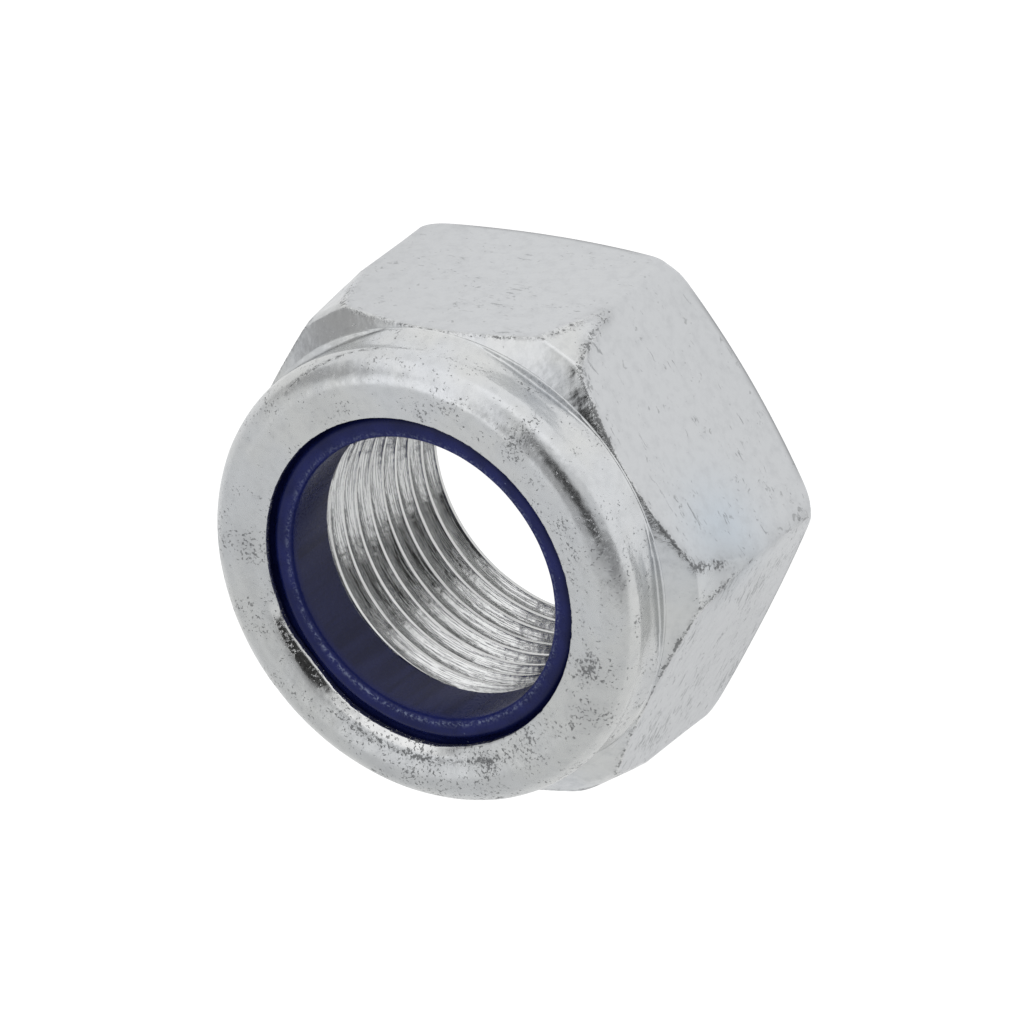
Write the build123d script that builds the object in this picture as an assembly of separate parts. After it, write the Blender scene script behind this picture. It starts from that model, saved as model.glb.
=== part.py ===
from build123d import *
import os
from math import cos, radians, sin, sqrt, tan

# Nylon insert lock nut, M20 x 1.5, in millimetres.
# Frame: +Z runs along the thread axis towards the locking ring, the bearing face lies on Z = 0
# and two of the six corners lie on the X axis.

# --- hexagon -----------------------------------------------------------------------------------
across_flats = 29.4
corner_trim = 0.06               # how far the cold-formed corners stop short of sharp
hex_height = 14.5                # bearing face to the top of each flat's upper arc
top_chamfer_angle = 38.0         # from the bearing plane
corner_relief_height = 5.9       # upper stretch of each corner that the forming die leaves unfilled
corner_relief_angle = 8.8        # from the thread axis
relief_blend_radius = 1.2
bearing_face_diameter = 28.4
bearing_chamfer_angle = 20.0     # from the bearing plane
bearing_bevel_width = 0.47       # steeper bevel between the chamfer and each corner
bearing_bevel_height = 0.67

# --- bore --------------------------------------------------------------------------------------
thread_minor_diameter = 18.6     # the bore is plain at the crests of the fine thread
thread_height = 13.8             # bearing face to the seat of the locking ring
lead_in_angle = 30.0             # both countersinks, from the bearing plane
bearing_lead_in_diameter = 21.3
seat_lead_in_diameter = 20.2

# --- locking ring ------------------------------------------------------------------------------
ring_bore_diameter = 18.0
ring_outer_diameter = 24.0
ring_height = 4.1
ring_shoulder_bevel = 1.1        # front outer edge, pressed off by the rolled collar
ring_rim_bevel = 0.15            # front edge of the ring's bore
ring_clearance = 0.02            # between ring and collar all round; the ring stands on its seat

# --- collar, rolled over the ring into a lip ---------------------------------------------------
collar_wall = 2.38
collar_shoulder_radius = 1.8
collar_waist_height = 2.5        # stretch above the ledge in which the collar swells to full size
neck_depth = 0.2                 # how much slimmer the collar is at its foot
neck_bevel = 0.3
ledge_inset = 0.05               # how far the ledge's edge lies inside the flats
ledge_step = 0.18                # from the chamfer up to the ledge
lip_thickness = 0.456            # at the edge of its opening
lip_opening_diameter = 20.8
lip_droop_angle = 11.0           # the lip falls towards its opening
lip_edge_bevel = 0.15

# --- spot where the rolling wheel pressed the lip into the ring --------------------------------
pressed_azimuth = 97.0           # degrees about +Z from +X
pressed_reach = 0.18             # how far the lip's edge is pushed inwards
pressed_depth = 0.1              # how far it is pushed down
pressed_width = 1.1              # how far back from its edge the lip is bent
wheel_radius = 12.0
wheel_rim_radius = 3.0

blend_share = 0.9                # of its shorter wall, the most that a blend may take up

# --- derived values ----------------------------------------------------------------------------
apothem = across_flats / 2
corner_radius = apothem / cos(radians(30)) - corner_trim
bearing_radius = bearing_face_diameter / 2
minor_radius = thread_minor_diameter / 2
bearing_lead_in_radius = bearing_lead_in_diameter / 2
seat_lead_in_radius = seat_lead_in_diameter / 2
lip_radius = lip_opening_diameter / 2
pocket_radius = ring_outer_diameter / 2 + ring_clearance
collar_radius = pocket_radius + collar_wall
neck_radius = collar_radius - neck_depth
ledge_radius = apothem - ledge_inset

chamfer_top = hex_height + ledge_inset * tan(radians(top_chamfer_angle))
ledge_top = chamfer_top + ledge_step
ring_front = thread_height + ring_height
lip_underside = ring_front + ring_clearance


def lead_in_depth(wide_radius):
    """Depth of the countersink that opens the bore to a wider radius."""
    return (wide_radius - minor_radius) * tan(radians(lead_in_angle))


def lip_top(radius):
    """Height of the drooping top of the lip at a distance from the thread axis."""
    return lip_underside + lip_thickness + (radius - lip_radius) * tan(radians(lip_droop_angle))


def total_height():
    """Height of the shoulder's crest, where its arc turns down towards the lip."""
    droop = radians(lip_droop_angle)
    arc_end_radius = collar_radius - collar_shoulder_radius * (1 + sin(droop))
    return lip_top(arc_end_radius) + collar_shoulder_radius * (1 - cos(droop))


def hexagon_outline():
    """Corners of the forged hexagon's section, from the ledge down to the bearing face."""
    chamfer_slope = tan(radians(top_chamfer_angle))
    relief_slope = tan(radians(corner_relief_angle))
    relief_foot = hex_height - corner_relief_height
    # The chamfer cone and the steeper cone of the unfilled corners cross at the relief's head.
    chamfer_drop = (corner_radius - apothem) * chamfer_slope
    relief_rise = (corner_relief_height - chamfer_drop) / (1 - chamfer_slope * relief_slope)
    bevel_radius = corner_radius - bearing_bevel_width
    bevel_foot = (bevel_radius - bearing_radius) * tan(radians(bearing_chamfer_angle))
    return [
        ((ledge_radius, chamfer_top), 0),
        ((corner_radius - relief_rise * relief_slope, relief_foot + relief_rise), relief_blend_radius),
        ((corner_radius, relief_foot), 0),
        ((corner_radius, bevel_foot + bearing_bevel_height), 0),
        ((bevel_radius, bevel_foot), 0),
        ((bearing_radius, 0), 0),
    ]


def bore_outline():
    """Corners of the bore's section, from the bearing face up to the seat of the locking ring."""
    return [
        ((bearing_lead_in_radius, 0), 0),
        ((minor_radius, lead_in_depth(bearing_lead_in_radius)), 0),
        ((minor_radius, thread_height - lead_in_depth(seat_lead_in_radius)), 0),
        ((seat_lead_in_radius, thread_height), 0),
    ]


def collar_outline():
    """Corners of the collar's section, from the ring's seat over the lip and down to the ledge."""
    lip_edge = lip_radius + lip_edge_bevel
    return [
        ((pocket_radius, thread_height), 0),
        ((pocket_radius, lip_underside - ring_shoulder_bevel), 0),
        ((pocket_radius - ring_shoulder_bevel, lip_underside), 0),
        ((lip_radius, lip_underside), 0),
        ((lip_radius, lip_top(lip_edge) - lip_edge_bevel), 0),
        ((lip_edge, lip_top(lip_edge)), 0),
        ((collar_radius, lip_top(collar_radius)), collar_shoulder_radius),
        ((collar_radius, ledge_top + neck_bevel - neck_depth), 0),
        ((neck_radius + neck_bevel, ledge_top), 0),
        ((ledge_radius, ledge_top), 0),
    ]


def turned(corners):
    """Solid of revolution about the thread axis from a list of (corner, blend radius) pairs."""
    points = [Vector(*corner) for corner, _ in corners]
    blends = []
    for i, (_, blend) in enumerate(corners):
        back = points[i - 1] - points[i]
        ahead = points[(i + 1) % len(points)] - points[i]
        room = min(back.length, ahead.length) * tan(radians(back.get_angle(ahead) / 2))
        blends.append(min(blend, blend_share * room))
    outline = FilletPolyline(*points, radius=blends, close=True)
    return revolve(Plane.XZ * make_face(outline), Axis.Z)


def neck_groove():
    """Tool that slims the collar from its foot up to where it reaches its full size."""
    foot = ledge_top + neck_bevel - neck_depth
    top = ledge_top + collar_waist_height
    outside = collar_radius + neck_depth
    return turned([
        ((collar_radius, top), 0),
        ((neck_radius, ledge_top + neck_bevel), 0),
        ((collar_radius, foot), 0),
        ((outside, foot), 0),
        ((outside, top), 0),
    ])


def pressed_tongue(clearance):
    """Stretch of the lip that is pushed inwards and down into the ring, or the room it takes up."""
    edge = lip_radius - pressed_reach
    half_chord = sqrt(lip_radius**2 - edge**2)
    tongue = Pos(edge - clearance, 0, lip_top(edge)) * Box(
        pressed_width + 2 * clearance,
        2 * (half_chord + clearance),
        pressed_depth + lip_thickness + clearance,
        align=(Align.MIN, Align.CENTER, Align.MAX),
    )
    return Rot(0, 0, pressed_azimuth) * tongue


def rolling_wheel():
    """Round-rimmed wheel that stands on the pressed tongue with its axle pointing at the thread axis."""
    edge = lip_radius - pressed_reach
    axle_height = lip_top(edge) - pressed_depth + wheel_radius
    wheel = Pos(edge, 0, axle_height) * Rot(0, 90, 0) * Torus(
        wheel_radius - wheel_rim_radius, wheel_rim_radius
    )
    return Rot(0, 0, pressed_azimuth) * wheel


def nut_body():
    """Steel nut: one turned section with six flats, and the pressed spot in its lip."""
    blank = turned(bore_outline() + collar_outline() + hexagon_outline()) - neck_groove()
    flats = extrude(RegularPolygon(apothem, 6, major_radius=False), chamfer_top)
    above_flats = Pos(0, 0, chamfer_top) * Cylinder(
        corner_radius + collar_radius, total_height(), align=(Align.CENTER, Align.CENTER, Align.MIN)
    )
    return (blank & (flats + above_flats)) + pressed_tongue(0) - rolling_wheel()


def locking_ring():
    """Nylon ring that stands on its seat, fills the pocket under the lip and takes its imprint."""
    bore = ring_bore_diameter / 2
    outer = ring_outer_diameter / 2
    ring = turned([
        ((bore, thread_height), 0),
        ((outer, thread_height), 0),
        ((outer, ring_front - ring_shoulder_bevel), 0),
        ((outer - ring_shoulder_bevel, ring_front), 0),
        ((bore + ring_rim_bevel, ring_front), 0),
        ((bore, ring_front - ring_rim_bevel), 0),
    ])
    return ring - pressed_tongue(ring_clearance)


os.makedirs("parts", exist_ok=True)
export_step(nut_body(), "parts/nut_body.step")
export_step(locking_ring(), "parts/locking_ring.step")
print(f"height {total_height():.2f}, collar {2 * collar_radius:.2f}, corners {2 * corner_radius:.2f}")
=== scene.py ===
# %% [markdown]
# # A nylon insert lock nut
#
# A lock nut is a plain hexagon nut with a round collar on top. A ring of dark blue nylon sits in
# the collar, and the collar's lip is rolled over it. The bolt cuts its own way into the nylon,
# which grips it and stops it from working loose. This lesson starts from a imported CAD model, which
# has the right sizes and plain faces, and dresses it: the steel is turned, pressed and tapped like
# the real nut, and the nylon ring is pushed into it.

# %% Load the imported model
import math

import bpy
import numpy as np
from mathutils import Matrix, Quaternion, Vector, noise


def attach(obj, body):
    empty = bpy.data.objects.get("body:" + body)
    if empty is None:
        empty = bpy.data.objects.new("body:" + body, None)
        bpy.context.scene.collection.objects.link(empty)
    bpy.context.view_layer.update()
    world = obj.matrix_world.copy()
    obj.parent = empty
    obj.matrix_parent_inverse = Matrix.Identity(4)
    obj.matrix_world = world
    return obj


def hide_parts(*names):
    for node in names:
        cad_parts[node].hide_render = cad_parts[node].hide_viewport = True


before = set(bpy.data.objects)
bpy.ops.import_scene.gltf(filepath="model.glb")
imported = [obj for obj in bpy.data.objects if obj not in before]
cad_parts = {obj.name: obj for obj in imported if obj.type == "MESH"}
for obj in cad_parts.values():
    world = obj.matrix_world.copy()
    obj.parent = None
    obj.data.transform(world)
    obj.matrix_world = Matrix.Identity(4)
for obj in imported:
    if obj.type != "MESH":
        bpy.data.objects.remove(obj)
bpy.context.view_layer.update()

MM = 0.001
print("CAD nodes:", ", ".join(sorted(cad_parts)))

# %% [markdown]
# ## Camera
#
# Small hardware is best seen from far away through a long lens, so that near and far edges keep the
# same size. The camera looks down on the collar and is rolled to one side, because the nut lies on
# the table at an angle. It is set by a place, an aim and a roll, which are easier to read than
# three angles.

# %% Camera
camera_place = Vector((96.24, -590.37, 713.65)) * MM
camera_aim = Vector((-0.654, 3.728, 3.207)) * MM
camera_roll = math.radians(127.27)

camera_data = bpy.data.cameras.new("camera")
camera_data.lens = 550.5
camera_data.sensor_width = 36.0
camera_data.clip_start, camera_data.clip_end = 0.05, 20.0
camera = bpy.data.objects.new("camera", camera_data)
bpy.context.scene.collection.objects.link(camera)
look = (camera_aim - camera_place).normalized()
camera.rotation_mode = "QUATERNION"
camera.rotation_quaternion = Quaternion(look, camera_roll) @ look.to_track_quat("-Z", "Y")
camera.location = camera_place
bpy.context.scene.camera = camera
print("camera is", round((camera_aim - camera_place).length / MM), "mm from the nut")

# %% [markdown]
# ## Bench tools
#
# Every operator in Blender works on what is selected, so each step starts by selecting one piece
# and nothing else. These few helpers do that, read and write the places of all of a piece's
# vertices at once, draw a section point by point, and spin it. A nut is round, so places are often
# turned into a distance from its axis, a height and a turn, and back.


# %% Bench tools
def choose(piece):
    """Select one piece, and nothing else."""
    bpy.ops.object.select_all(action="DESELECT")
    piece.select_set(True)
    bpy.context.view_layer.objects.active = piece


def new_piece(name):
    """Name the object that an operator has just added."""
    piece = bpy.context.active_object
    piece.name = name
    piece.data.name = name
    return piece


def places(piece):
    """The places of a piece's vertices, in millimetres."""
    found = np.zeros(len(piece.data.vertices) * 3, np.float32)
    piece.data.vertices.foreach_get("co", found)
    return found.reshape(-1, 3).astype(float) / MM


def put_places(piece, where):
    piece.data.vertices.foreach_set("co", (where * MM).astype(np.float32).ravel())
    piece.data.update()


def round_axis(where):
    """Each place as its distance from the axis, its height and its turn."""
    return np.hypot(where[:, 0], where[:, 1]), where[:, 2].copy(), np.arctan2(where[:, 1], where[:, 0])


def from_axis(radius, height, turn):
    """Places again, from distances, heights and turns."""
    return np.stack([radius * np.cos(turn), radius * np.sin(turn), height], 1)


def triangles(piece):
    piece.data.calc_loop_triangles()
    return len(piece.data.loop_triangles)


def rounded(corners, steps=6):
    """A line through (radius, height, rounding) corners, with its corners rounded."""
    most = 0.48  # of a side, the share that one rounding may take up
    points = [corners[0][:2]]
    for before, (x, y, rounding), after in zip(corners, corners[1:-1], corners[2:]):
        if not rounding:
            points.append((x, y))
            continue
        here = Vector((x, y))
        back = Vector(before[:2]) - here
        on = Vector(after[:2]) - here
        half = (math.pi - back.angle(on)) / 2
        reach = min(rounding * math.tan(half), most * back.length, most * on.length)
        radius = reach / math.tan(half)
        back.normalize()
        on.normalize()
        centre = here + (back + on).normalized() * radius / math.cos(half)
        first = here + back * reach - centre
        turn = 2 * half if first.cross(on) > 0 else -2 * half
        for k in range(steps + 1):
            a = turn * k / steps
            points.append((
                centre.x + first.x * math.cos(a) - first.y * math.sin(a),
                centre.y + first.x * math.sin(a) + first.y * math.cos(a),
            ))
    points.append(corners[-1][:2])
    return np.array(points)


def length_along(line):
    """How far along a line each of its points lies."""
    return np.concatenate([[0], np.cumsum(np.linalg.norm(np.diff(line, axis=0), axis=1))])


def walk(line, shares):
    """The points that lie at these shares of a line's length."""
    gone = length_along(line)
    at = np.asarray(shares) * gone[-1]
    return np.stack([np.interp(at, gone, line[:, 0]), np.interp(at, gone, line[:, 1])], 1)


def merge_selected():
    bpy.ops.mesh.select_all(action="SELECT")
    bpy.ops.mesh.remove_doubles(threshold=0.001 * MM)
    bpy.ops.mesh.select_all(action="SELECT")


def spun(name, section, columns):
    """Draw a closed section by extruding one vertex from point to point, and spin it into a solid."""
    bpy.ops.object.select_all(action="DESELECT")
    bpy.ops.mesh.primitive_plane_add(size=MM, location=(section[0][0] * MM, 0, section[0][1] * MM))
    piece = new_piece(name)
    bpy.ops.object.transform_apply(location=True, rotation=True, scale=True)
    bpy.ops.object.mode_set(mode="EDIT")
    bpy.ops.mesh.select_all(action="SELECT")
    bpy.ops.mesh.merge(type="CENTER")
    for here, there in zip(section, list(section[1:]) + [section[0]]):
        step = ((there[0] - here[0]) * MM, 0, (there[1] - here[1]) * MM)
        bpy.ops.mesh.extrude_region_move(TRANSFORM_OT_translate={"value": step})
    merge_selected()
    bpy.ops.mesh.spin(
        steps=columns, angle=2 * math.pi, center=(0, 0, 0), axis=(0, 0, 1), use_auto_merge=True
    )
    merge_selected()
    bpy.ops.mesh.normals_make_consistent(inside=False)
    bpy.ops.object.mode_set(mode="OBJECT")
    return piece


def smooth_least(a, b, width):
    """The smaller of two numbers, with the change-over rounded over a width."""
    return (a + b - np.sqrt((a - b) ** 2 + width ** 2)) / 2


def grain(where, size, seed):
    """Smooth noise from -1 to 1 at each place, with bumps about this many millimetres across."""
    return np.array([noise.noise(Vector(p) / size + Vector((seed, seed, seed))) for p in where])


print("bench tools ready")

# %% [markdown]
# ## The nut's section
#
# A nut like this is cold-formed from a slug of wire: presses squeeze it into a hexagon, with a
# collar on one end, and a tool turns the ends clean. Everything except the six flats is round, so
# the whole nut can be drawn as one section and spun. The section below is the one through a corner
# of the hexagon, where the metal reaches furthest out.

# %% Section through a corner, in millimetres
flat_distance = 14.7
corner_radius = 16.914
crest_radius = 9.3
bearing_edge = (14.2, 0.0)
lead_in_edge = (10.65, 0.0)
lead_in_end = (crest_radius, 0.779)
seat_height = 13.8
seat_edge = (10.1, seat_height)
seat_lead_in_end = (crest_radius, 13.338)
corner_tip = (corner_radius, 0.988)
corner_foot = (corner_radius, 2.8)
corner_head = (corner_radius, 8.6)
chamfer_foot = (16.180, 13.344)
chamfer_head = (14.65, 14.539)
collar_foot = 14.9

outside_low = rounded([(*bearing_edge, 0), (*corner_tip, 1.15), (*corner_foot, 0)], 14)
outside_high = rounded([(*corner_head, 0), (*chamfer_foot, 0.9), (*chamfer_head, 0)], 16)

shoulder_centre = (12.6, 16.95)
shoulder_radius = 1.8
droop = math.radians(11)
turn_from = math.radians(4)
shoulder = [
    (
        shoulder_centre[0] + shoulder_radius * math.cos(a),
        shoulder_centre[1] + shoulder_radius * math.sin(a),
    )
    for a in np.linspace(turn_from, math.pi / 2 + droop, 40)
]
lip_radius = 10.4
lip_underside = 17.92
lip_top = shoulder[-1][1] - (shoulder[-1][0] - lip_radius) * math.tan(droop)
lip_root = (10.92, lip_underside)
pocket_corners = [(12.02, 16.82), (12.02, seat_height)]
neck_radius = 14.2
waist = rounded([
    (*chamfer_head, 0), (chamfer_head[0], 14.68, 0.06), (neck_radius, 14.72, 0.12),
    (neck_radius, 15.6, 1.5), (*shoulder[0], 0),
], 8)
lip = rounded([
    (*shoulder[-1], 0), (lip_radius, lip_top, 0.14), (lip_radius, lip_underside, 0.08), (*lip_root, 0),
], 6)
print("the nut is", round(max(z for r, z in shoulder), 2), "mm high")

# %% [markdown]
# ## Turning the blank
#
# The section is drawn by extruding a single vertex along the points, and the Spin tool turns it
# once round the thread's axis. The rows on the outside are only counted here. Each one is put in
# its real place in the next step, because the edges of the flats are curves, and rows that follow
# a curve draw it cleanly where a straight grid would leave steps.

# %% Turn the blank
columns = 432
low_rows, flat_rows, high_rows = 12, 26, 30


def both_ends(count, edge=0.35):
    """Shares from 0 to 1 that are closer together at both ends."""
    t = np.linspace(0, 1, count)
    return (1 - edge) * (t - np.sin(2 * math.pi * t) / (2 * math.pi)) + edge * t


low_line = walk(outside_low, np.linspace(0, 1, low_rows, endpoint=False))
wall_line = np.stack([
    np.full(flat_rows, corner_radius),
    np.linspace(corner_foot[1], corner_head[1], flat_rows),
], 1)
high_line = walk(outside_high, np.linspace(0, 1, high_rows + 1)[1:])
section_parts = {
    "bearing": np.linspace(lead_in_edge, bearing_edge, 7)[:-1],
    "low": low_line,
    "flat": wall_line,
    "high": high_line,
    "waist": walk(waist, np.linspace(0, 1, 30)[1:] ** 1.4),
    "shoulder": np.array(shoulder)[1::2],
    "lip": walk(lip, np.linspace(0, 1, 31)[1:]),
    "pocket": np.array([*pocket_corners, seat_edge, seat_lead_in_end]),
    "bore": np.array([lead_in_end]),
}
section = np.concatenate(list(section_parts.values()))
row_part = np.concatenate([[name] * len(rows) for name, rows in section_parts.items()])
row_in_part = np.concatenate([np.arange(len(rows)) for rows in section_parts.values()])

steel_nut = spun("steel_nut", section, columns)
print("rows:", len(section), " blank:", triangles(steel_nut), "triangles")

# %% [markdown]
# ## Pressing the flats
#
# The flats could be cut with six planes, but a cut leaves a knife edge, and a real pressed nut has
# edges that are rounded by about a tenth of a millimetre. So each vertex is moved instead: where
# the round blank stands outside the flat, it is pushed in to the flat, and the change-over between
# the two is rounded. In each column the rows are first laid out between the places where the flat
# begins and ends.

# %% Press the flats
crowding = 0.5  # how much closer the columns stand near the corners
just_inside = 1e-4
low_length, high_length = length_along(outside_low), length_along(outside_high)


def row_of(where):
    """Which row of the section each vertex of the spun blank belongs to."""
    unrolled = np.stack(round_axis(where)[:2], 1)
    batch = 8192
    found = np.zeros(len(unrolled), int)
    for k in range(0, len(unrolled), batch):
        gap = unrolled[k:k + batch, None, :] - section[None, :, :]
        found[k:k + batch] = (gap ** 2).sum(2).argmin(1)
    return found


def round_radius_at(height):
    """How far out the round blank reaches at each height, before the flats are pressed."""
    return np.interp(
        height,
        np.concatenate([outside_low[:, 1], outside_high[:, 1]]),
        np.concatenate([outside_low[:, 0], outside_high[:, 0]]),
    )


blank = places(steel_nut)
row = row_of(blank)
turn = round_axis(blank)[2]
turn = turn - crowding / 6 * np.sin(6 * turn)
from_flat = (turn + math.pi) % (math.pi / 3) - math.pi / 6
reach_of_flat = flat_distance / np.cos(from_flat)
limit = np.minimum(reach_of_flat, corner_radius - just_inside)

low_start = np.interp(limit, outside_low[:, 0], low_length)
high_start = np.interp(-limit, -outside_high[:, 0], high_length)
low_z = np.interp(low_start, low_length, outside_low[:, 1])
high_z = np.interp(high_start, high_length, outside_high[:, 1])

radius, height = section[row][:, 0].copy(), section[row][:, 1].copy()
part, step = row_part[row], row_in_part[row]

here = part == "low"
share = step / low_rows
gone = low_start * (1 - np.clip(1 - share, 0, 1) ** 1.5)
radius[here] = np.interp(gone, low_length, outside_low[:, 0])[here]
height[here] = np.interp(gone, low_length, outside_low[:, 1])[here]

here = part == "flat"
share = both_ends(flat_rows)[np.minimum(step, flat_rows - 1)]
height[here] = (low_z + (high_z - low_z) * share)[here]
radius[here] = round_radius_at(height[here])

here = part == "high"
share = (step + 1) / high_rows
gone = high_start + (high_length[-1] - high_start) * share ** 1.35
radius[here] = np.interp(gone, high_length, outside_high[:, 0])[here]
height[here] = np.interp(gone, high_length, outside_high[:, 1])[here]

outer = np.isin(part, ["low", "flat", "high"])
edge_width = np.interp(height, (1.0, 4.0, 9.0, 12.0), (0.04, 0.14, 0.14, 0.07))
pressed = smooth_least(radius, reach_of_flat, edge_width)
fade = np.clip((radius - bearing_edge[0]) / 0.3, 0, 1)
radius = np.where(outer, radius + (pressed - radius) * fade, radius)
put_places(steel_nut, from_axis(radius, height, turn))
print("across flats:", round(2 * abs(places(steel_nut)[:, 1]).max(), 3), "mm")

# %% [markdown]
# ## The foot of the collar
#
# Where the round collar grows out of the hexagon, the metal has run out to the flats and left a
# small step only behind each corner. So the neck isn't quite round: its foot reaches almost to the
# chamfer above each flat, and draws in to leave a lens-shaped ledge at each corner.

# %% Shape the collar's foot
ledge_half_turn = math.radians(19)
ledge_width = 0.45
ledge_left_over_flat = 0.04


def rise(x, low, high):
    """0 below low, 1 above high, and a smooth step between."""
    t = np.clip((x - low) / (high - low), 0, 1)
    return t * t * (3 - 2 * t)


def bell(x, middle, width):
    """1 at the middle, falling softly to 0 over a width."""
    return np.exp(-((x - middle) / width) ** 2)


def angle_from(turn, azimuth):
    """How far round a place is from an azimuth in degrees, between -180 and 180 degrees."""
    return np.degrees((turn - math.radians(azimuth) + math.pi) % (2 * math.pi) - math.pi)


radius, height, turn = round_axis(places(steel_nut))
from_corner = (turn + math.pi / 6) % (math.pi / 3) - math.pi / 6
ledge = np.cos(np.clip(from_corner / ledge_half_turn, -1, 1) * math.pi / 2)
push = (ledge_width - ledge_left_over_flat) * (1 - ledge)
push *= np.clip((chamfer_head[0] - radius) / ledge_width, 0, 1)
push *= (part == "waist") * (1 - rise(height, 14.8, 16.6))
put_places(steel_nut, from_axis(radius + push, height, turn))
print("ledge at a corner:", ledge_width, "mm, above a flat:", round(ledge_width - push.max(), 3), "mm")

# %% [markdown]
# ## The bent lip
#
# The lip is rolled over the nylon by a wheel. On one stretch the wheel has tilted the last three
# quarters of a millimetre of the lip down, like a chamfer, and where it stopped it has dug in a
# little deeper. The lip is thin and was never machined, so its edge is slightly ragged. Last, the
# whole collar gets a shallow unevenness of a hundredth of a millimetre or two, which nobody can
# feel but which bends the reflections in bright metal.

# %% Bend the lip
bend_from_radius = 11.15
bend_slope = math.tan(math.radians(40)) - math.tan(droop)
bend_azimuth = 118
spot_azimuth = 97


def band_at(turn):
    """1 along the stretch of the lip that is bent down, and 0 elsewhere."""
    around = angle_from(turn, bend_azimuth)
    return rise(around, -46, -34) * (1 - rise(around, 26, 50))


where = places(steel_nut)
radius, height, turn = round_axis(where)
band = band_at(turn)
spot = bell(angle_from(turn, spot_azimuth), 0, 10)
in_lip = np.isin(part, ["shoulder", "lip"]) & (radius < 12.5)
on_top = in_lip & (height > 18.02)

edge_noise = grain(where * (1, 1, 0), 0.42, 3.0) + 0.6 * grain(where * (1, 1, 0), 0.2, 5.0)
edge_shift = 0.04 + 0.27 * band - 0.15 * spot + 0.03 * edge_noise * (0.4 + rise(edge_noise, -0.2, 0.4))
radius += np.where(in_lip, edge_shift * np.clip(1 - (radius - lip_radius) / 0.7, 0, 1), 0)
ramp = bend_from_radius + 0.18 * bell(angle_from(turn, spot_azimuth + 9), 0, 8) - radius
ramp = (ramp + np.sqrt(ramp ** 2 + 0.16 ** 2)) / 2
height -= np.where(in_lip, band * bend_slope * ramp * np.where(on_top, 1.0, 0.72), 0)
where = from_axis(radius, height, turn)

collar = np.isin(part, ["waist", "shoulder", "lip"]) & (height > collar_foot)
lean = np.arctan2(height - shoulder_centre[1], radius - shoulder_centre[0])
lean = np.clip(lean, 0, math.radians(101))
swell = 0.018 * grain(where, 2.6, 11.0) + 0.006 * grain(where, 0.9, 17.0) - 0.012
swell *= collar * rise(height, collar_foot, 15.6) * rise(radius, 10.8, 11.4)
radius += swell * np.cos(lean)
height += swell * np.sin(lean)
put_places(steel_nut, from_axis(radius, height, turn))
print("lip edge, mm from the axis:", round(float(radius[in_lip].min()), 2))
print("nut height:", round(float(height.max()), 3), "mm")

# %% [markdown]
# ## Tapping the thread
#
# A tap is a hardened screw that cuts the thread as it turns. The lesson does the same: the Screw
# modifier winds a ridge with the thread's shape up the axis, 1.5 mm a turn and right-handed, and a
# Boolean takes it away from the bore. The ridge flares where it leaves the bore, so the crests
# that stay are rounded, as rubbed steel is.

# %% Tap the thread
pitch = 1.5
ridge = [
    (8.9, -0.66), (9.28, -0.66), (9.34, -0.60), (9.44, -0.52), (10.03, -0.17),
    (10.05, -0.12), (10.05, 0.12), (10.03, 0.17), (9.44, 0.52), (9.34, 0.60), (9.28, 0.66),
    (8.9, 0.66),
]
tap_from, tap_turns, steps_per_turn = -1.4, 10.5, 120

bpy.ops.object.select_all(action="DESELECT")
bpy.ops.mesh.primitive_circle_add(vertices=len(ridge), radius=MM, fill_type="NGON")
tap = new_piece("tap")
put_places(tap, np.array([(r, 0.0, z + tap_from) for r, z in ridge]))
choose(tap)
bpy.ops.object.mode_set(mode="EDIT")
bpy.ops.mesh.select_all(action="SELECT")
bpy.ops.mesh.delete(type="ONLY_FACE")
bpy.ops.object.mode_set(mode="OBJECT")
winding = tap.modifiers.new("winding", "SCREW")
winding.axis = "Z"
winding.angle = 2 * math.pi * tap_turns
winding.screw_offset = pitch * tap_turns * MM
winding.steps = winding.render_steps = round(steps_per_turn * tap_turns)
winding.iterations = 1
winding.use_merge_vertices = False
bpy.ops.object.modifier_apply(modifier="winding")
bpy.ops.object.mode_set(mode="EDIT")
bpy.ops.mesh.select_mode(type="EDGE")
bpy.ops.mesh.select_all(action="DESELECT")
bpy.ops.mesh.select_non_manifold(extend=False, use_boundary=True, use_wire=False,
                                 use_multi_face=False, use_non_contiguous=False, use_verts=False)
bpy.ops.mesh.edge_face_add()
bpy.ops.mesh.select_all(action="SELECT")
bpy.ops.mesh.normals_make_consistent(inside=False)
bpy.ops.mesh.select_mode(type="VERT")
bpy.ops.object.mode_set(mode="OBJECT")
print("tap:", triangles(tap), "triangles")

choose(steel_nut)
cut = steel_nut.modifiers.new("thread", "BOOLEAN")
cut.operation = "DIFFERENCE"
cut.solver = "EXACT"
cut.object = tap
bpy.ops.object.modifier_apply(modifier="thread")
bpy.data.objects.remove(tap)
bpy.ops.object.shade_smooth_by_angle(angle=math.radians(35))
print("steel nut:", triangles(steel_nut), "triangles")
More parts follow.
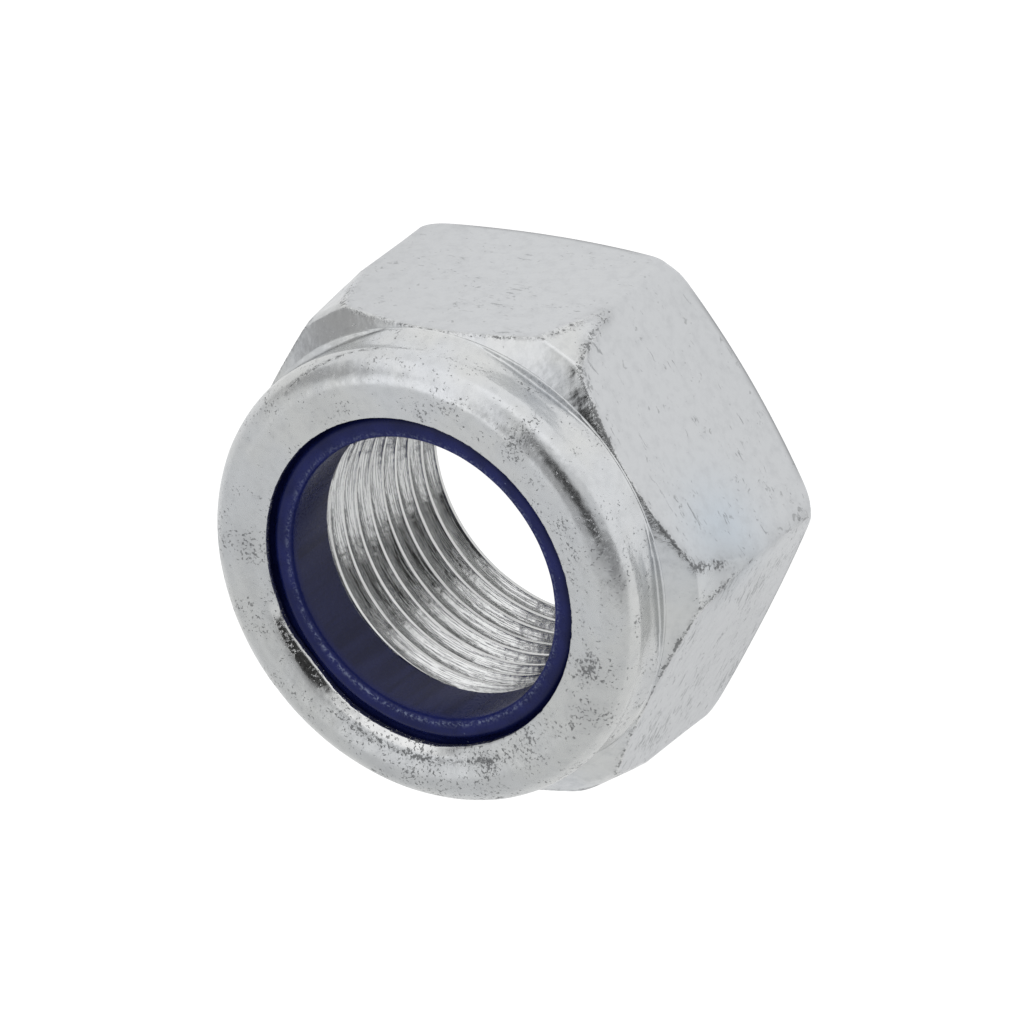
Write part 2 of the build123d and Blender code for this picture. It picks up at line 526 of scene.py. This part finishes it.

# %% [markdown]
# ## The nylon ring
#
# The ring is a moulded washer with a plain hole, a little smaller than the thread, so that every
# bolt has to cut into it. It is spun like the blank. The steel lip bites into its front, which
# falls away into a groove under the lip and leaves the dark line between steel and nylon; the
# blue nylon material adds painted shade there.

# %% Nylon ring
ring_hole, ring_outside, ring_front = 9.0, 12.0, 17.9
ring_start = (ring_hole, 15.0, 0)
ring_outline = rounded([
    ring_start, (ring_hole, ring_front, 0.2), (10.0, ring_front, 0.3), (10.42, 17.5, 0.1),
    (10.95, 17.5, 0.1), (11.15, 17.8, 0.1), (ring_outside, 16.8, 0.2),
    (ring_outside, seat_height, 0.06), (ring_hole, seat_height, 0.06), ring_start,
], 6)
ring_section = walk(ring_outline, np.linspace(0, 1, 84, endpoint=False))
nylon_ring = spun("nylon_ring", ring_section, 360)
where = places(nylon_ring)
radius, height, _ = round_axis(where)
by_the_rim = rise(height, 17.0, 17.6) * (radius < 9.6)
where[:, 2] += 0.02 * (grain(where, 1.1, 7.0) - 1) * by_the_rim
put_places(nylon_ring, where)
choose(nylon_ring)
bpy.ops.object.shade_smooth_by_angle(angle=math.radians(40))
print("nylon ring:", triangles(nylon_ring), "triangles")

# %% [markdown]
# ## Marks of making, with painted light and shade, on the vertices
#
# Pits, rubbed edges and turned lines aren't spread evenly: each keeps to the places where the
# press, the tap, the rolling wheel or other nuts in the barrel touched the metal. Each piece
# therefore gets a few attributes, numbers from 0 to 1 on its vertices, which are worked out from
# where a vertex is. The steel has twelve, from the knocked corners to the burnished lip, with a
# darker side of the collar and painted shade along the foot of the flats. The nylon has four: its
# rim, painted light at the mouth of its hole, the wall of its hole, and painted shade on the part
# tucked under the lip. The materials read them by name and use them to place their patterns.


# %% Paint the marks
def paint(piece, name, values):
    layer = piece.data.attributes.new(name, "FLOAT", "POINT")
    layer.data.foreach_set("value", np.clip(values, 0, 1).astype(np.float32))


def distance_from(where, azimuth, r, z):
    """How far each place is from one given by azimuth, radius and height."""
    a = math.radians(azimuth)
    return np.linalg.norm(where - (r * math.cos(a), r * math.sin(a), z), axis=1)


# %% Where other nuts struck
knocks = [
    # azimuth, radius, height, reach, strength
    (-61, 16.7, 9.2, 1.1, 1.0), (-63, 16.3, 12.0, 0.7, 0.8), (-66, 16.1, 13.1, 0.6, 0.7),
    (-76, 15.1, 14.1, 0.8, 0.8), (-81, 14.9, 14.4, 0.7, 0.9), (-97, 14.8, 14.4, 0.8, 0.9),
    (-105, 15.2, 14.0, 1.2, 1.0), (-110, 15.6, 13.7, 1.1, 1.0), (-115, 16.1, 13.2, 0.9, 0.9),
    (-119, 16.6, 11.5, 0.9, 0.8), (-120, 16.9, 8.5, 1.4, 0.7), (-120, 16.9, 5.5, 1.5, 0.6),
    (-120, 16.9, 2.5, 1.3, 0.7), (-132, 15.3, 14.0, 0.8, 0.7), (-142, 14.8, 14.4, 1.0, 0.7),
    (-146, 14.7, 14.2, 1.0, 0.6), (-68, 13.1, 18.6, 0.9, 0.8), (-104, 13.5, 18.5, 0.9, 0.7),
    (-111, 14.0, 18.0, 0.9, 0.7), (170, 11.6, 18.6, 1.2, 0.4), (150, 12.0, 18.6, 1.0, 0.3),
    (56, 12.2, 18.6, 1.2, 0.5), (60, 14.0, 18.2, 1.2, 0.5), (-3, 11.6, 18.6, 1.4, 0.4),
    (-150, 12.8, 18.6, 1.2, 0.6), (-138, 12.2, 18.7, 1.1, 0.6), (135, 13.4, 18.4, 1.4, 0.5),
]
print("knocks:", len(knocks))

# %% Marks on the steel
where = places(steel_nut)
radius, height, turn = round_axis(where)
from_flat = (turn + math.pi) % (math.pi / 3) - math.pi / 6
in_hexagon = (height < 14.6) & (radius > 13)
past_flat = round_radius_at(height) * np.cos(from_flat) - flat_distance
arc = bell(past_flat, -0.04, 0.17) * in_hexagon * rise(height, 9.0, 11.0)
knocked = np.zeros(len(where))
for azimuth, r, z, reach, strength in knocks:
    knocked = np.maximum(knocked, strength * bell(distance_from(where, azimuth, r, z), 0, reach))
on_collar = (height > collar_foot) & (radius > 10.2)
near_knocks = np.where(on_collar, knocked, knocked * bell(past_flat, -0.05, 0.35))
# the collar is darker, greyer, rougher and more pitted towards azimuth 140 degrees
darker_side = (0.5 + 0.5 * np.cos(turn - math.radians(140))) * on_collar
around = angle_from(turn, 0)
scar = bell(height, 18.2 + 0.05 * around, 0.09) * (radius > 13.4)
scar *= rise(around, -36, -28) * (1 - rise(around, 2, 10))
around = angle_from(turn, 150)
lip_line = bell(radius, 11.45, 0.22) * on_collar * rise(around, -42, -20) * (1 - rise(around, 22, 38))
turned = rise(10.9 - radius, 0.0, 0.15) * (height < seat_height + 0.1)
face_down = rise(-height, -0.03, 0.0)
burnished = band_at(turn) * on_collar * rise(bend_from_radius + 0.1 - radius, 0.0, 0.2)
tint = bell(distance_from(where, -113, 16, 9.5), 0, 3.2)
dull = bell(distance_from(where, -120, 16.6, 10.8), 0, 2.0) * in_hexagon
# painted shade: a dark line along the foot of each flat, standing in for the reflection of the
# shadowed table beside the bearing face
foot_shade_line = bell(past_flat, 0.05, 0.45) * in_hexagon * (height < 3) * (1 - rise(radius, 15.4, 16.4))

steel_marks = {
    "arc": arc,
    "knocked": near_knocks,
    "darker_side": darker_side,
    "scar": np.maximum(scar, 0.5 * lip_line),
    "turned": np.maximum(turned, face_down),
    "flat": in_hexagon * np.maximum(rise(past_flat, -0.02, 0.12), 1 - rise(height, 8.2, 9.5)),
    "collar": on_collar.astype(float),
    "burnished": burnished,
    "foot_shade": foot_shade_line,
    "tint": tint,
    "dull": dull,
    "scraped": in_hexagon * (np.cos(turn + math.radians(150)) > math.cos(math.radians(30))),
}
for name, values in steel_marks.items():
    paint(steel_nut, name, values)
print("marks on the steel:", ", ".join(steel_marks))

# %% Marks on the nylon
radius, height, turn = round_axis(places(nylon_ring))
rubbed = 0.35 + 0.65 * bell(angle_from(turn, 130), 0, 70)
nylon_marks = {
    "rim": bell(radius, 9.27, 0.12) * rise(height, 17.6, 17.8) * rubbed,
    # painted light: a brighter band round the top of the hole, where light from above falls on it
    "lit_mouth": bell(height, 17.6, 0.35) * (radius < 9.2),
    "wall": rise(17.5 - height, 0.0, 0.4) * (radius < 9.05),
    # painted shade: the front of the ring darkens towards the lip, under which it is tucked
    "shade_under_lip": rise(radius, 9.45, 10.5) * (height > 15),
}
for name, values in nylon_marks.items():
    paint(nylon_ring, name, values)
print("marks on the nylon:", ", ".join(nylon_marks))

# %% [markdown]
# ## Building materials from nodes
#
# A material is a small network of nodes: patterns on one side, the Principled BSDF shader on the
# other. The first helper fills an input with a number, a colour or another node's output. With
# it, each of the next ones adds a node and fills its inputs in one call, so that an effect reads
# as a short recipe. Effects that may be used again are node groups, with named inputs and outputs.


# %% Node helpers
def fill(tree, socket, value):
    """Link another socket to this one, or set it to a number or colour."""
    if isinstance(value, bpy.types.NodeSocket):
        tree.links.new(value, socket)
    else:
        socket.default_value = value


def add(tree, kind, settings=(), **inputs):
    """Add a node. Settings are its own choices; inputs are numbers, colours or other sockets."""
    made = tree.nodes.new("ShaderNode" + kind)
    for key, value in dict(settings).items():
        setattr(made, key, value)
    for key, value in inputs.items():
        name = key.replace("_", " ")
        fill(tree, made.inputs[int(name[2:])] if name.startswith("in") else made.inputs[name], value)
    return made


def maths(tree, operation, *values):
    made = add(tree, "Math", {"operation": operation, "use_clamp": False})
    for socket, value in zip(made.inputs, values):
        fill(tree, socket, value)
    return made.outputs[0]


def weigh(tree, start, *pairs):
    """A start number plus the sum of each value times its weight."""
    total = start
    for value, weight in pairs:
        total = maths(tree, "MULTIPLY_ADD", value, weight, total)
    return total


def between(tree, value, low, high, to_low=0.0, to_high=1.0):
    """Turn the stretch of a value from low to high into another stretch, with soft ends."""
    made = add(tree, "MapRange", {"interpolation_type": "SMOOTHSTEP"}, Value=value)
    for name, number in (
        ("From Min", low), ("From Max", high), ("To Min", to_low), ("To Max", to_high)
    ):
        made.inputs[name].default_value = number
    return made.outputs["Result"]


def blend(tree, share, first, second):
    """Mix two colours."""
    return add(tree, "Mix", {"data_type": "RGBA"}, in0=share, in6=first, in7=second).outputs[2]


def clouds(tree, vector, scale, detail=2.0, rough=0.5, twist=0.0):
    """Smooth noise, from about 0.25 to 0.75."""
    made = add(tree, "TexNoise", Vector=vector, Scale=scale, Detail=detail, Roughness=rough,
               Distortion=twist)
    return made.outputs[0]


def effect(name, inputs, outputs):
    """A node group with named inputs and outputs."""
    tree = bpy.data.node_groups.new(name, "ShaderNodeTree")
    for label, kind, value in inputs:
        socket = tree.interface.new_socket(label, in_out="INPUT", socket_type=kind)
        if value is not None:
            socket.default_value = value
    for label, kind in outputs:
        tree.interface.new_socket(label, in_out="OUTPUT", socket_type=kind)
    return tree, tree.nodes.new("NodeGroupInput").outputs, tree.nodes.new("NodeGroupOutput").inputs


def millimetres(tree):
    """Object coordinates, counted in millimetres."""
    found = add(tree, "TexCoord").outputs["Object"]
    scaled = add(tree, "VectorMath", {"operation": "SCALE"}, in0=found)
    scaled.inputs["Scale"].default_value = 1 / MM
    return scaled.outputs[0]


def mark(tree, name):
    return add(tree, "Attribute", {"attribute_name": name}).outputs["Fac"]


NUMBER, ARROW = "NodeSocketFloat", "NodeSocketVector"

# %% [markdown]
# ## Pits
#
# Zinc plating follows every small hole in the steel, and barrel plating knocks the nuts together,
# so the surface carries dark pits and smudges a few tenths of a millimetre wide. They come in
# clusters. One noise makes the clusters, a finer one makes the pits, and the pits show only where
# the two together are high enough.

# %% Pits
pits, given, gives = effect(
    "pits",
    [("Place", ARROW, None), ("Amount", NUMBER, 0.5), ("Size", NUMBER, 0.25)],
    [("Mask", NUMBER)],
)
cluster = clouds(pits, given["Place"], 0.5, 3.0, 0.6)
spots = clouds(pits, given["Place"], maths(pits, "DIVIDE", 1.15, given["Size"]), 2.5, 0.6, 0.5)
level = maths(pits, "MULTIPLY_ADD", cluster, 0.5, maths(pits, "ADD", spots, -0.25))
level = maths(pits, "MULTIPLY_ADD", given["Amount"], 0.16, level)
pits.links.new(between(pits, level, 0.755, 0.85), gives["Mask"])

# %% [markdown]
# ## Turned lines
#
# A tap or a lathe tool leaves fine lines that run round the axis. They depend only on how far a
# point is from the axis and how high it is, so the pattern is noise read at (radius, height), with
# a little of the angle mixed in so that no line runs all the way round.

# %% Turned lines
turned_lines, given, gives = effect("turned lines", [("Place", ARROW, None)], [("Line", NUMBER)])
lines_per_mm = 15.0
x, y, z = add(turned_lines, "SeparateXYZ", Vector=given["Place"]).outputs
from_centre = maths(turned_lines, "SQRT", maths(
    turned_lines, "ADD", maths(turned_lines, "MULTIPLY", x, x), maths(turned_lines, "MULTIPLY", y, y)
))
fine = add(turned_lines, "CombineXYZ",
           X=maths(turned_lines, "MULTIPLY", from_centre, lines_per_mm),
           Y=maths(turned_lines, "MULTIPLY", z, lines_per_mm),
           Z=maths(turned_lines, "MULTIPLY", maths(turned_lines, "ADD", x, y), 0.07))
turned_lines.links.new(clouds(turned_lines, fine.outputs[0], 1.0, 3.0, 0.75), gives["Line"])

# %% [markdown]
# ## Nicks in the flats
#
# Flats are bruised by the edges of other nuts, which leave short scratches that run round the nut.
# Noise that is stretched along each flat draws them. The pattern first finds which of the six
# flats a point belongs to, and then counts millimetres along that flat.

# %% Nicks in the flats
nicks, given, gives = effect(
    "nicks", [("Place", ARROW, None), ("Amount", NUMBER, 0.0)], [("Mask", NUMBER)]
)
sixth = math.pi / 3
squeeze = 3.6  # how much shorter a nick is up the flat than along it
apart = 7.3  # puts each flat in a stretch of noise of its own
x, y, z = add(nicks, "SeparateXYZ", Vector=given["Place"]).outputs
bearing = maths(nicks, "ARCTAN2", y, x)
which = maths(nicks, "ROUND", maths(nicks, "DIVIDE", maths(nicks, "ADD", bearing, -sixth / 2), sixth))
facing = maths(nicks, "MULTIPLY_ADD", which, sixth, sixth / 2)
along = maths(nicks, "SUBTRACT", maths(nicks, "MULTIPLY", y, maths(nicks, "COSINE", facing)),
              maths(nicks, "MULTIPLY", x, maths(nicks, "SINE", facing)))
laid = add(nicks, "CombineXYZ", X=along, Y=maths(nicks, "MULTIPLY", z, squeeze),
           Z=maths(nicks, "MULTIPLY", which, apart))
scratch = clouds(nicks, laid.outputs[0], 1.0, 3.5, 0.6, 1.3)
herd = clouds(nicks, given["Place"], 0.3, 2.0)
level = maths(nicks, "MULTIPLY_ADD", herd, 0.45, scratch)
level = maths(nicks, "MULTIPLY_ADD", given["Amount"], 0.06, level)
nicks.links.new(between(nicks, level, 0.875, 0.96), gives["Mask"])
print("node groups:", ", ".join(g.name for g in bpy.data.node_groups))

# %% [markdown]
# ## Putting a finish together
#
# Each finish is made the same way. A base colour is tinted where a mark or a pattern shows, one
# tint over another, as a painter lays thin coats. The roughness follows the same masks, and a Bump
# node turns a height into relief. That height is counted in millimetres, so each mark's depth can
# be read from its number.


# %% Finish helpers
def placed(tree, group, **inputs):
    """Put a node group in a material, and give back its only output."""
    node = tree.nodes.new("ShaderNodeGroup")
    node.node_tree = group
    for name, value in inputs.items():
        fill(tree, node.inputs[name], value)
    return node.outputs[0]


def new_finish(name):
    """A material, its nodes and its shader."""
    material = bpy.data.materials.new(name)
    material.use_nodes = True
    return material, material.node_tree, material.node_tree.nodes["Principled BSDF"]


def tinted(tree, colour, masks, tints):
    """Lay tints over a colour, from first to last: mask, strength and the colour there."""
    for name, strength, tone in tints:
        share = masks[name] if strength == 1 else maths(tree, "MULTIPLY", masks[name], strength)
        colour = blend(tree, share, colour, (*tone, 1))
    return colour


def connect(tree, shader, colour, rough, depth):
    """Give a shader its colour, its roughness and its relief in millimetres."""
    bump = add(tree, "Bump", Height=depth, Strength=1.0, Distance=MM)
    tree.links.new(colour, shader.inputs["Base Color"])
    tree.links.new(rough, shader.inputs["Roughness"])
    tree.links.new(bump.outputs["Normal"], shader.inputs["Normal"])


def dress(piece, material):
    piece.data.materials.clear()
    piece.data.materials.append(material)
    print(material.name + ":", len(material.node_tree.nodes), "nodes")


# %% [markdown]
# ## Zinc plating
#
# Bright zinc is a light, slightly blue metal that is satin and not mirror-like. The rolling wheel
# has rubbed the bent lip close to a mirror, and where nuts rubbed each other the metal is duller
# and greyer. Pits, smudges, nicks and the broken scar are darker, and nearly all are rougher and
# sink below the surface. They are found first, then the tints lie over each other in one list; the
# last one is painted shade along the foot of the flats.


# %% Wear in the zinc
def zinc_wear(tree, place, painted):
    """Masks of the small marks, which gather where the painted marks are strong."""
    unturned = maths(tree, "SUBTRACT", 1.0, painted["turned"])
    busy = weigh(tree, 0.12, (painted["darker_side"], 0.30), (painted["arc"], 1.2),
                 (painted["knocked"], 1.15), (painted["scar"], 1.1), (painted["collar"], 0.52),
                 (painted["flat"], -0.10), (painted["scraped"], 0.30))
    dirty = weigh(tree, -0.05, (painted["knocked"], 1.2), (painted["darker_side"], 0.25),
                  (painted["flat"], 0.55))
    cracked = weigh(tree, 0.0, (painted["scar"], 0.75), (painted["arc"], 0.28))

    mottle = between(tree, clouds(tree, place, 1.3, 5.0, 0.65), 0.42, 0.72, 0.0, 0.22)
    pit = placed(tree, pits, Place=place, Amount=busy, Size=0.22)
    smudge = placed(tree, pits, Place=place, Amount=dirty, Size=0.6)
    nick = placed(tree, nicks, Place=place, Amount=painted["scraped"])
    groove = between(tree, placed(tree, turned_lines, Place=place), 0.38, 0.50, 1.0, 0.0)
    broken = between(tree, clouds(tree, place, 2.6, 4.0, 0.7, 0.8), 0.46, 0.56)
    return {
        "mottle": maths(tree, "MULTIPLY", mottle, unturned),
        "pit": maths(tree, "MULTIPLY", pit, unturned),
        "smudge": maths(tree, "MULTIPLY", smudge, unturned),
        "nick": maths(tree, "MULTIPLY", nick, painted["flat"]),
        "groove": maths(tree, "MULTIPLY", groove, painted["turned"]),
        "broken": maths(tree, "MULTIPLY", broken, cracked),
    }


# %% Tints of the zinc
fresh_zinc = (0.592, 0.606, 0.622, 1), (0.608, 0.614, 0.606, 1)
zinc_tints = [
    # where it shows, how strongly, the colour of the metal there, or of the painted shade
    ("flat", 1, (0.545, 0.556, 0.568)),
    ("turned", 1, (0.70, 0.705, 0.70)),
    ("burnished", 1, (0.84, 0.84, 0.83)),
    # darker and greyer on one side of the collar
    ("darker_side", 0.45, (0.46, 0.47, 0.465)),
    ("tint", 0.6, (0.46, 0.53, 0.60)),
    ("knocked", 0.40, (0.33, 0.335, 0.34)),
    ("dull", 0.6, (0.42, 0.425, 0.43)),
    ("mottle", 1, (0.34, 0.35, 0.365)),
    ("smudge", 0.4, (0.20, 0.205, 0.205)),
    ("nick", 0.55, (0.18, 0.19, 0.195)),
    ("pit", 0.62, (0.08, 0.082, 0.085)),
    ("groove", 0.22, (0.12, 0.125, 0.13)),
    ("broken", 1, (0.10, 0.102, 0.105)),
    # painted shade along the foot of the flats
    ("foot_shade", 0.8, (0.16, 0.165, 0.17)),
]
print("tints of the zinc:", len(zinc_tints))


# %% Zinc plating
def zinc_plating():
    material, tree, shader = new_finish("zinc plating")
    shader.inputs["Metallic"].default_value = 1.0
    place = millimetres(tree)
    at = {name: mark(tree, name) for name in steel_marks}
    at.update(zinc_wear(tree, place, at))

    drift = clouds(tree, place, 0.14, 3.0, 0.6)
    colour = tinted(tree, blend(tree, between(tree, drift, 0.35, 0.65), *fresh_zinc), at, zinc_tints)

    satin = clouds(tree, place, 6.0, 4.0, 0.6)
    rough = weigh(tree, between(tree, satin, 0.3, 0.7, 0.13, 0.20), (at["flat"], 0.20),
                  (at["collar"], 0.08), (at["darker_side"], 0.05), (at["burnished"], -0.13),
                  (at["pit"], 0.25), (at["knocked"], 0.12), (at["dull"], 0.15),
                  (at["nick"], 0.05), (at["smudge"], 0.12))

    crumble = maths(tree, "MULTIPLY", clouds(tree, place, 4.5, 3.0, 0.6),
                    weigh(tree, 0.0, (at["arc"], 0.5), (at["knocked"], 0.8)))
    unevenness = clouds(tree, place, 0.9, 2.0)
    depth = weigh(tree, 0.0, (at["pit"], -0.020), (at["nick"], -0.012), (at["smudge"], -0.008),
                  (satin, 0.004), (at["groove"], -0.004), (at["broken"], -0.015),
                  (crumble, 0.05), (unevenness, 0.05))
    connect(tree, shader, colour, rough, depth)
    return material


dress(steel_nut, zinc_plating())

# %% [markdown]
# ## Blue nylon
#
# The ring is moulded in a very dark blue nylon. It isn't clear and isn't matt: it has a soft
# gloss. Its inner rim is rubbed whitish where rings knocked against each other in the feeder. The
# wall of its hole has faint streaks where the mould's core was drawn out. A painted lit band
# brightens the top of the hole, and painted shade darkens the groove that is tucked under the lip.


# %% Blue nylon
def blue_nylon():
    material, tree, shader = new_finish("blue nylon")
    shader.inputs["Specular IOR Level"].default_value = 0.16
    place = millimetres(tree)
    at = {name: mark(tree, name) for name in nylon_marks}

    x, y, z = add(tree, "SeparateXYZ", Vector=place).outputs
    drawn_out = add(tree, "CombineXYZ", X=x, Y=y, Z=maths(tree, "MULTIPLY", z, 0.06)).outputs[0]
    streak = clouds(tree, drawn_out, 1.4, 4.0, 0.6)
    drift = clouds(tree, place, 0.5, 3.0, 0.6)
    wall = blend(tree, between(tree, streak, 0.35, 0.65), (0.010, 0.013, 0.060, 1),
                 (0.020, 0.025, 0.098, 1))
    colour = blend(tree, between(tree, drift, 0.35, 0.65), (0.007, 0.011, 0.075, 1),
                   (0.011, 0.016, 0.105, 1))
    colour = blend(tree, at["wall"], colour, wall)

    scuff = between(tree, clouds(tree, place, 5.5, 4.0, 0.7, 0.5), 0.47, 0.60)
    scuff = maths(tree, "MULTIPLY", scuff, at["rim"])
    speck = between(tree, clouds(tree, place, 3.0, 1.0), 0.79, 0.82)
    at["white"] = maths(tree, "MAXIMUM", maths(tree, "MULTIPLY", scuff, 0.75),
                        maths(tree, "MULTIPLY", speck, 0.5))
    colour = tinted(tree, colour, at, [
        # painted light round the top of the hole
        ("lit_mouth", 0.5, (0.012, 0.018, 0.120)),
        # painted shade under the lip
        ("shade_under_lip", 0.5, (0.003, 0.004, 0.022)),
        ("white", 1, (0.26, 0.30, 0.44)),
    ])

    skin = clouds(tree, place, 5.0, 4.0, 0.6)
    rough = weigh(tree, between(tree, skin, 0.3, 0.7, 0.24, 0.36), (scuff, 0.3))
    depth = weigh(tree, 0.0, (skin, 0.004), (scuff, 0.01), (streak, 0.006))
    connect(tree, shader, colour, rough, depth)
    return material


dress(nylon_ring, blue_nylon())

# %% [markdown]
# ## Table and light
#
# Shiny metal shows what is round it more than it shows itself, so a metal part is lit by its
# surroundings. Here they are a light tent: a pale dome with brighter and darker panels hung in it.
# The darkest panel is the gap that the camera looks through. It draws the dark bands on the
# collar, in the thread and on the bent lip. Each panel is a stretch of azimuth and of elevation
# with soft edges, in degrees. The nut stands on white paper that glows like a light table. The
# camera sees it plain white, and the steel sees it a little greyer, and paler towards the window.
# The paper lies a hair below the bearing face, so that the two never share one plane.


# %% Tent panels
def azimuth_of(tree, vector):
    """The azimuth in which a vector points, in degrees."""
    x, y, z = add(tree, "SeparateXYZ", Vector=vector).outputs
    return maths(tree, "DEGREES", maths(tree, "ARCTAN2", y, x))


def beside(tree, azimuth, middle, half_width, soft):
    """1 where an azimuth lies within half a width of a middle one, with soft sides."""
    off = maths(tree, "WRAP", maths(tree, "SUBTRACT", azimuth, middle), 180, -180)
    off = maths(tree, "ABSOLUTE", off)
    return between(tree, off, half_width - soft, half_width + soft, 1.0, 0.0)


panels = [
    # what it is, azimuth, half width, lowest, highest, softness, tone
    ("pale upper wall", 42, 44, 54, 73, 7, 1.40),
    ("window", -12, 26, -30, 66, 9, 1.22),
    ("lower window", -55, 24, -30, 20, 8, 1.32),
    ("roof", 0, 181, 76, 100, 6, 0.45),
    ("curtain", 38, 12, -20, 44, 7, 0.48),
    ("stand", -122, 11, -20, 40, 6, 0.22),
    ("gap for the camera", -92, 35, 36, 76, 6, 0.03),
]
print("light tent:", ", ".join(panel[0] for panel in panels))

# %% Light
studio = bpy.data.worlds.new("studio")
bpy.context.scene.world = studio
studio.use_nodes = True
dome = studio.node_tree
direction = add(dome, "TexCoord").outputs["Generated"]
x, y, z = add(dome, "SeparateXYZ", Vector=direction).outputs
elevation = maths(dome, "DEGREES", maths(dome, "ARCSINE", z))
azimuth = azimuth_of(dome, direction)
sky = (0.84, 0.845, 0.85, 1)
for _, middle, half_width, lowest, highest, soft, tone in panels:
    over = between(dome, elevation, lowest - soft, lowest + soft)
    under = between(dome, elevation, highest - soft, highest + soft, 1.0, 0.0)
    share = maths(dome, "MULTIPLY", beside(dome, azimuth, middle, half_width, soft),
                  maths(dome, "MULTIPLY", over, under))
    sky = blend(dome, share, sky, (tone, tone, tone * 1.01, 1))
dome.links.new(sky, dome.nodes["Background"].inputs["Color"])
dome.nodes["Background"].inputs["Strength"].default_value = 1.0
bpy.context.scene.view_settings.view_transform = "Standard"
print("dome:", len(dome.nodes), "nodes")

# %% Table
table_size = 6.0  # metres
below_the_nut = 0.01 * MM
bpy.ops.object.select_all(action="DESELECT")
bpy.ops.mesh.primitive_plane_add(size=table_size, location=(0, 0, -below_the_nut))
table = new_piece("table")
paper, net, sheet = new_finish("white paper")
sheet.inputs["Base Color"].default_value = (0.16, 0.16, 0.16, 1)
sheet.inputs["Roughness"].default_value = 0.9
sheet.inputs["Specular IOR Level"].default_value = 0.0
sheet.inputs["Emission Color"].default_value = (1.0, 1.0, 1.0, 1)
on_paper = azimuth_of(net, add(net, "TexCoord").outputs["Object"])
glow = weigh(net, 0.84, (beside(net, on_paper, -65, 70, 25), 0.15))
seen = add(net, "LightPath").outputs["Is Camera Ray"]
net.links.new(maths(net, "MAXIMUM", glow, seen), sheet.inputs["Emission Strength"])
dress(table, paper)

# %% Place the pieces
for piece, node, finish in (
    (steel_nut, "nut_body", "zinc_plated_steel"),
    (nylon_ring, "locking_ring", "blue_nylon"),
):
    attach(piece, "root")
    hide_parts(node)
